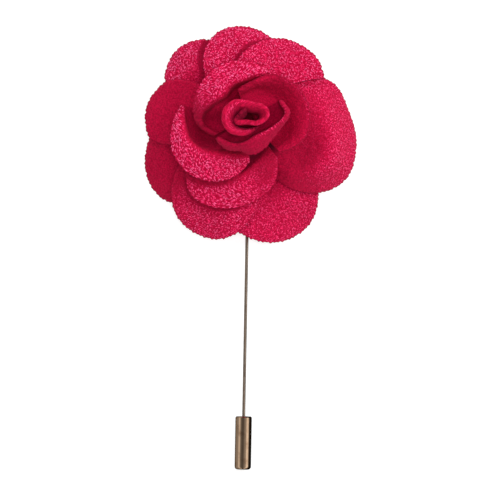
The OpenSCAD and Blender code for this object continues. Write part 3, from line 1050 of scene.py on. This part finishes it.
@dataclass
class InnerCup:
    """The petals that stand round the bud, and the one that is folded round it.

    Attributes:
        cloth: Sizes that the petals share.
        finish: Looks of the standing petals.
        bud_finish: Looks of the petal folded round the bud.
        petals: Crests and rims of the petals.
        step_along: Spacing of the points from axis to rim, as a share of the spacing across.
        crest_at: Where from axis to rim the crest is.
        crease_t: Where from axis to rim the painted shade of the floor starts to fade and where it ends.
        tail_s: Where across a petal the painted shade of its ending side starts and where it is darkest.
        nap_and_highlight_turn: Where across a petal the threads of its outside and their painted highlight
            start to change and where they have.
        glint_wide: How far from axis to rim a line of painted highlight reaches.
        loose_t: Where from axis to rim the wrinkles start and where they are full.
        apart: How far apart two petals lie on the cloth that they are cut from, in millimetres.
        nick_seed: What a petal's number is raised by for its rim's nicks.
        wrinkles: The cloth's wrinkles.
    """

    cloth: Cloth
    finish: CrepeFinish
    bud_finish: CrepeFinish
    petals: tuple[InnerPetal, ...] = INNER_PETALS
    step_along: float = 1.4
    crest_at: float = 0.68
    crease_t: tuple[float, float] = (0.30, 0.58)
    tail_s: tuple[float, float] = (0.55, 0.8)
    nap_and_highlight_turn: tuple[float, float] = (0.5, 0.85)
    glint_wide: float = 0.04
    loose_t: tuple[float, float] = (0.25, 0.7)
    apart: float = 13.3
    nick_seed: int = 30
    wrinkles: Wrinkles = Wrinkles(broad=(0.1, 5.0, 10.0), fine=(0.04, 1.3, 2.8), seeds=(20, 70))

    def looks(
        self, petal: InnerPetal, s: np.ndarray, t: np.ndarray, deg: np.ndarray, share: np.ndarray
    ) -> tuple[np.ndarray, np.ndarray]:
        """Works out how far a petal's threads stand out with their painted highlight, and how much painted
        shade it gets.

        Args:
            petal: The petal's crest and rim.
            s: Places across the petal, from 0 to 1.
            t: Places from the axis to the rim, from 0 to 1.
            deg: Angles round the axis, in degrees.
            share: Distances from the axis, as shares of the flower's radius.

        Returns:
            The threads with their painted highlight, and the painted shade, at each point, from 0 to 1.
        """
        inside, first, last = petal.nap_and_highlight
        outside = (first + (last - first) * smoothstep(*self.nap_and_highlight_turn, s))[:, None]
        wide = self.cloth.nap_and_highlight_wide
        nap_and_highlight = inside + (outside - inside) * smoothstep(self.crest_at - wide, self.crest_at + wide, t)
        # A line of raised threads with a painted highlight.
        if petal.glint:
            line = smoothstep(*petal.glint.opens, s) * (1 - smoothstep(*petal.glint.closes, s))
            beside = np.exp(-(((t - petal.glint.at) / self.glint_wide) ** 2))
            nap_and_highlight = nap_and_highlight + petal.glint.height * line[:, None] * beside
        # Under the petal above, the threads lie flat and lose their painted highlight, and painted shadow
        # falls.
        laid, dark = shaded(petal.under, deg, share)
        # Painted shade on the ending side and the gathered floor.
        tail = petal.tail * smoothstep(*self.tail_s, s)[:, None]
        gathered = petal.painted_shade * (1 - smoothstep(*self.crease_t, t))
        return nap_and_highlight * (1 - laid), np.maximum(np.maximum(gathered, tail), dark)

    def sheet(self, petal: InnerPetal, seed: int) -> Sheet:
        """Works out one petal.

        Args:
            petal: The petal's crest and rim.
            seed: Number that its wrinkles come from.

        Returns:
            The petal's cloth.
        """
        c = self.cloth
        base = c.tier_z(petal.tier) + c.crown_rise
        reach = max(petal.rim_r) * c.flower_r
        s = stations(math.radians(petal.end - petal.start) * reach, c.step, ends=True)
        t = stations(reach + c.cup_h, c.step * self.step_along, ends=False)
        crest_r, rim_r, foot_in = (
            c.flower_r * smooth(shares, s) for shares in (petal.crest_r, petal.rim_r, petal.foot_in)
        )
        foot_z, crest_z, rim_z = (
            c.cup_h * smooth(shares, s) for shares in (petal.foot_z, petal.crest_z, petal.rim_z)
        )
        rho = smooth(np.stack([np.full_like(s, c.eyelet_r), crest_r - foot_in, crest_r, rim_r]), t).T
        z = base + smooth(np.stack([np.zeros_like(s), foot_z, crest_z, rim_z]), t).T
        deg = np.broadcast_to((petal.start + (petal.end - petal.start) * s)[:, None], rho.shape)
        points = around(deg, rho, z)
        turn = np.radians(deg - (petal.start + petal.end) / 2)
        flat = np.stack([arc_lengths(points, 1), crest_r.mean() * turn], -1) + seed * self.apart
        relief = self.wrinkles.at(flat, seed) * smoothstep(*self.loose_t, t)[None, :]
        moved = points + normals(points) * relief[..., None]
        nap_and_highlight, painted_shade = self.looks(petal, s, t, deg, rho / c.flower_r)
        return Sheet(petal.name, moved, flat, c.seen_t, nap_and_highlight, painted_shade)

    def build(self) -> None:
        # The cup's and the wrap's finishes are lighter and darker copies of the crepe, for painted light
        # and painted shade.
        cup, bud = self.finish.material(), self.bud_finish.material()
        for seed, petal in enumerate(self.petals, start=1):
            wraps = petal.name.startswith("bud")
            sheet = self.sheet(petal, seed)
            made = sheet.build(self.cloth.place, seed + self.nick_seed)
            dress(made, bud if wraps else cup, petal.name)


@dataclass
class BudCoil:
    """The strip at the flower's heart, folded double and rolled up on edge.

    Attributes:
        cloth: Sizes that the petals share.
        finish: Looks of the strip.
        height: Height of the bud, in millimetres.
        lean: How much narrower the bud is low down, as a share.
        lean_deep: Depth below the top where it is narrowest, in millimetres.
        lean_to: The place that it narrows to, as shares of the flower's radius.
        dive: How far the strip's outer end goes down, in millimetres.
        dive_from: Where along the strip the end starts to go down.
        wall_points: How many points go up each side.
        fold_points: How many points go over the fold.
        dark: How much painted shade the bud gets low down, from 0 to 1.
        inmost: How much painted shade the strip's inner end gets and how much flatter its threads lie,
            from 0 to 1.
        inmost_s: Where along the strip that starts to fade and where it ends.
        glint: How far the threads stand out with a painted highlight on the inner part's fold, and how
            much more on the outer.
        nap_and_highlight: How far the threads stand out everywhere, with their painted highlight, from 0
            to 1.
        glint_s: Where along the strip the outer part starts and where it has started.
        glint_at: Where over the inner part's fold that is, from -1 at its inner side to 1 at its outer
            one, and how much nearer to the inner side on the outer part.
        shift_s: Where along the strip the shift starts and where it ends.
        glint_wide: How far over the fold a line of painted highlight reaches.
        ripples: The strip's crinkles.
    """

    cloth: Cloth
    finish: CrepeFinish
    height: float = 5.2
    lean: float = 0.38
    lean_deep: float = 2.4
    lean_to: tuple[float, float] = (0.02, -0.05)
    dive: float = 1.6
    dive_from: float = 0.82
    wall_points: int = 18
    fold_points: int = 14
    dark: float = 0.8
    inmost: float = 0.65
    inmost_s: tuple[float, float] = (0.08, 0.24)
    glint: tuple[float, float] = (0.25, 0.4)
    nap_and_highlight: float = 0.05
    glint_s: tuple[float, float] = (0.48, 0.6)
    glint_at: tuple[float, float] = (0.5, 1.2)
    shift_s: tuple[float, float] = (0.5, 0.65)
    glint_wide: float = 0.4
    ripples: Ripples = Ripples(91, 0.04, 1.2, 2.6, 40)

    def sheet(self) -> Sheet:
        """Works out the strip as one loop of cloth, up one side, over the fold and down the other."""
        c = self.cloth
        low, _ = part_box("bud_coil")
        base = low.z / MM
        length = arc_lengths(np.array(ROLL)[None] * c.flower_r, 1)[0, -1]
        s = stations(length, c.step, ends=True)
        path = smooth(ROLL, s) * c.flower_r
        way = np.gradient(path, axis=0)
        way /= np.linalg.norm(way, axis=1, keepdims=True)
        out = np.stack([way[:, 1], -way[:, 0]], -1)
        half = smooth(ROLL_HALF, s)[:, None]
        top = self.height - half - c.seen_t / 2 - self.dive * smoothstep(self.dive_from, 1, s)[:, None]
        wall = np.linspace(0, 1, self.wall_points)
        arc = np.linspace(0, math.pi, self.fold_points)[1:-1]
        side = np.concatenate([np.full_like(wall, -1), -np.cos(arc), np.full_like(wall, 1)])
        over = np.concatenate([np.zeros_like(wall), np.sin(arc), np.zeros_like(wall)])
        up = np.concatenate([wall, np.ones_like(arc), wall[::-1]])
        z = base + up * top + half * over
        depth = self.height - (z - base)
        narrowed = 1 - self.lean * smoothstep(0, self.lean_deep, depth)
        centre = np.array(self.lean_to) * c.flower_r
        beside = path[:, None, :] - centre + out[:, None, :] * (half * side)[..., None]
        points = np.concatenate([centre + beside * narrowed[..., None], z[..., None]], -1)
        flat = np.stack([arc_lengths(points, 1), arc_lengths(points, 0)], -1)
        relief = self.ripples.at(flat[..., 0], flat[..., 1])
        # Painted shade and flatter threads at the strip's inner end.
        inmost = self.inmost * (1 - smoothstep(*self.inmost_s, s))[:, None]
        # A line of painted highlight along the fold, shifting inwards on the outer part.
        at = self.glint_at[0] - self.glint_at[1] * smoothstep(*self.shift_s, s)[:, None]
        glint = self.glint[0] + self.glint[1] * smoothstep(*self.glint_s, s)[:, None] - inmost
        nap_and_highlight = self.nap_and_highlight + glint * np.exp(-(((side - at) / self.glint_wide) ** 2))
        moved = points + normals(points) * relief[..., None]
        # Painted shade low down in the roll and at its inner end.
        painted_shade = np.maximum(self.dark * smoothstep(self.lean_deep / 6, self.lean_deep, depth), inmost)
        return Sheet("bud_coil", moved, flat, c.seen_t, nap_and_highlight, painted_shade, rim_row=False)

    def build(self) -> None:
        sheet = self.sheet()
        made = sheet.build(self.cloth.place, 0)
        dress(made, self.finish.material(), "bud_coil")


@dataclass
class Backing:
    """The round of felt that carries the flower.

    Attributes:
        cloth: Sizes that the petals share.
        finish: Looks of the felt.
        rings: How many rings of points each face has.
        spokes: How many points go round.
        bevel: Width, outer step and depth of the felt's worn edge, in millimetres.
        uneven: How far the cut edge wanders, over the angle.
    """

    cloth: Cloth
    finish: FeltFinish
    rings: int = 26
    spokes: int = 120
    bevel: tuple[float, float, float] = (0.3, 0.08, 0.12)
    uneven: Ripples = Ripples(7, 0.05, 9.0, 21.0)

    def build(self) -> None:
        low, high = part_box("backing_disc")
        radius, thick = (high.x - low.x) / 2 / MM, (high.z - low.z) / MM
        wide, step, deep = self.bevel
        face = np.linspace(1, radius - wide, self.rings)
        rho = np.concatenate([face, [radius - step, radius, radius - step], face[::-1]])
        edge_z = [thick - deep, thick / 2, deep]
        z = np.concatenate([np.full_like(face, thick), edge_z, np.zeros_like(face)])
        turns = np.linspace(0, 360, self.spokes, endpoint=False)[:, None]
        wander = self.uneven.at(turns, 0 * rho) * rho / radius
        points = around(turns, rho + wander, low.z / MM + z + 0 * wander)
        tips = [[0, 0, low.z / MM + thick], [0, 0, low.z / MM]]
        vertices = np.concatenate([points.reshape(-1, 3), tips])
        index = np.arange(self.spokes * len(rho)).reshape(self.spokes, len(rho))
        after = np.roll(index, -1, axis=0)
        quads = np.stack([index[:, :-1], index[:, 1:], after[:, 1:], after[:, :-1]], -1).reshape(-1, 4)
        top_tip, low_tip = len(vertices) - 2, len(vertices) - 1
        caps = [(top_tip, a, b) for a, b in zip(index[:, 0].tolist(), after[:, 0].tolist())]
        caps += [(low_tip, b, a) for a, b in zip(index[:, -1].tolist(), after[:, -1].tolist())]
        made = mesh_object("backing_cloth", vertices + self.cloth.place, quads.tolist() + caps)
        polygons = made.data.polygons
        polygons.foreach_set("use_smooth", np.ones(len(polygons), bool))
        dress(made, self.finish.material(), "backing_disc")


@dataclass
class PinMetal:
    """The needle and its cap, which are the frame's own solids."""

    frame: dict
    steel: MetalFinish
    nickel: MetalFinish

    def build(self) -> None:
        """Gives both solids their metals."""
        for node, finish in (("needle", self.steel), ("barrel_cap", self.nickel)):
            piece = self.frame["nodes"][node]
            piece.data.materials.clear()
            piece.data.materials.append(finish.material())
            LOG.info("%s: dressed in %s", node, finish.name)


@dataclass(frozen=True)
class Lamp:
    """A square soft light that faces the flower.

    Attributes:
        name: The light's name.
        turn: Its direction in plan, in degrees from the picture's right.
        rise: Its angle above the floor, in degrees.
        watts: Its power.
        glints: True if glossy threads and metal show it.
    """

    name: str
    turn: float
    rise: float
    watts: float
    glints: bool = False


LAMPS = (
    Lamp("right", 22, 50, 1.15, glints=True),
    Lamp("upper", 98, 50, 1.18),
    Lamp("low", 60, 25, 0.25),
    Lamp("overhead", 0, 88, 1.45),
)
WALLS = (
    (0.0, 0.15), (0.06, 0.6), (0.12, 1.1), (0.27, 1.0), (0.30, 1.5), (0.32, 2.4), (0.355, 2.4),
    (0.385, 1.0), (0.42, 0.5), (0.47, 0.32), (0.51, 0.4), (0.56, 1.0), (0.61, 1.3), (0.635, 3.2),
    (0.70, 3.4), (0.72, 1.2), (0.745, 0.06), (1.0, 0.06),
)


@dataclass
class Studio:
    """The floor, the lights and the camera that looks straight down.

    Attributes:
        place: The bud's axis on the floor, in millimetres.
        frame_w: Width of the picture on the flower's level, in millimetres.
        centre: The middle of the picture from the bud's axis, in millimetres.
        roll: Turn of the camera about its line of sight, in degrees.
        level: Height of the flower's level, in millimetres.
        distance: Distance of the camera from that level, in millimetres.
        sensor: Width of the camera's sensor, in millimetres.
        floor_w: Width of the floor, in millimetres.
        softbox_m: Width of each light, in metres.
        light_m: Distance of each light from the bud's axis, in metres.
        lamps: The lights.
        walls: How bright the surroundings are, as turns about the needle's line from straight down, by way
            of the left, straight up and the right, to straight down again, each with its brightness.
    """

    place: np.ndarray
    frame_w: float = 112.5
    centre: tuple[float, float] = (1.285, -29.611)
    roll: float = 1.05
    level: float = 9.0
    distance: float = 2000.0
    sensor: float = 36.0
    floor_w: float = 4000.0
    softbox_m: float = 0.18
    light_m: float = 0.64
    lamps: tuple[Lamp, ...] = LAMPS
    walls: tuple[tuple[float, float], ...] = WALLS

    def floor(self) -> None:
        """Lays the pale floor, which the metal doesn't show."""
        half = self.floor_w / 2
        corners = np.array([(-half, -half, 0), (half, -half, 0), (half, half, 0), (-half, half, 0)])
        made = mesh_object("floor", corners, [(0, 1, 2, 3)])
        made.visible_glossy = False
        paper = bpy.data.materials.new("pale_paper")
        tree = Tree(paper)
        place = tree.add("TexCoord").outputs["Object"]
        grain = tree.add("TexNoise", Vector=place, Scale=900.0, Detail=3.0).outputs[0]
        tree.surface(
            Base_Color=tree.mix(grain, colour(160, 160, 160), colour(168, 168, 168)),
            Roughness=0.9,
            Specular_IOR_Level=0.1,
            Emission_Color=colour(255, 255, 255),
            Emission_Strength=0.75,
        )
        made.data.materials.append(paper)

    def light(self, lamp: Lamp) -> None:
        """Hangs one light."""
        data = bpy.data.lights.new(lamp.name, "AREA")
        data.size = self.softbox_m
        data.energy = lamp.watts
        a, b = math.radians(lamp.turn), math.radians(lamp.rise)
        way = Vector((math.cos(b) * math.cos(a), math.cos(b) * math.sin(a), math.sin(b)))
        made = add_object(lamp.name, data)
        made.visible_glossy = lamp.glints
        made.location = Vector(self.place) * MM + way * self.light_m
        made.rotation_euler = (-way).to_track_quat("-Z", "Y").to_euler()

    def surroundings(self) -> None:
        """Surrounds the pin with the pale and dark walls that its metal shows."""
        world = bpy.data.worlds.new("studio")
        bpy.context.scene.world = world
        tree = Tree(world)
        way = tree.add("SeparateXYZ", Vector=tree.add("TexCoord").outputs["Generated"])
        turn = tree.math("ARCTAN2", way.outputs[0], way.outputs[2])
        share = tree.math("ADD", tree.math("DIVIDE", turn, 2 * math.pi), 0.5)
        ramp = tree.add("ValToRGB", Fac=share)
        points = ramp.color_ramp.elements
        while len(points) < len(self.walls):
            points.new(0.5)
        for point, (at, strength) in zip(points, self.walls):
            point.position = at
            point.color = (strength, strength * 0.97, strength * 0.93, 1)
        shader = tree.add("Background", Color=ramp.outputs[0], Strength=0.5)
        tree.add("OutputWorld", Surface=shader.outputs[0])

    def camera(self) -> None:
        """Hangs the camera over the pin."""
        lens = bpy.data.cameras.new("camera")
        lens.sensor_width = self.sensor
        lens.lens = self.sensor * self.distance / self.frame_w
        lens.clip_end = 100.0
        made = add_object("camera", lens)
        across, along = np.array(self.centre) + self.place[:2]
        made.location = (across * MM, along * MM, (self.level + self.distance) * MM)
        made.rotation_euler = (0, 0, math.radians(self.roll))
        bpy.context.scene.camera = made

    def build(self) -> None:
        """Sets up the whole studio."""
        bpy.context.scene.view_settings.view_transform = "Standard"
        self.floor()
        self.surroundings()
        for lamp in self.lamps:
            self.light(lamp)
        self.camera()


def main() -> None:
    """Builds the pin and its studio."""
    logging.basicConfig(level=logging.INFO, format="%(name)s: %(message)s")
    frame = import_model()
    cloth = Cloth.from_frame()
    Studio(cloth.place).build()
    OuterRing(cloth, CrepeFinish("outer_crepe")).build()
    # The bud's wrap gets a darker copy of the crepe as painted shade; the standing petals and the coil get
    # lighter copies as painted light.
    soft_cut = colour(150, 3, 42)
    wrap = CrepeFinish(
        "wrap_crepe_shaded", pit=colour(138, 2, 37), ground=colour(164, 6, 49), relief=0.12, seal=soft_cut
    )
    inner = CrepeFinish(
        "inner_crepe_lit",
        pit=colour(157, 3, 43),
        ground=colour(190, 10, 57),
        thread=colour(230, 36, 94),
        seal=soft_cut,
    )
    InnerCup(cloth, inner, wrap).build()
    BudCoil(cloth, CrepeFinish("coil_crepe_lit", ground=colour(186, 9, 56), relief=0.1)).build()
    Backing(cloth, FeltFinish("backing_felt")).build()
    steel = MetalFinish(
        "drawn_steel",
        clean=colour(144, 130, 118),
        dull=colour(104, 86, 72),
        smoothest=0.3,
        roughest=0.42,
        line_mm=0.05,
        relief=0.002,
    )
    nickel = MetalFinish(
        "warm_nickel",
        clean=colour(176, 150, 126),
        dull=colour(128, 98, 74),
        smoothest=0.1,
        roughest=0.22,
        line_mm=0.09,
        relief=0.003,
    )
    PinMetal(frame, steel, nickel).build()


if __name__ == "__main__":
    main()
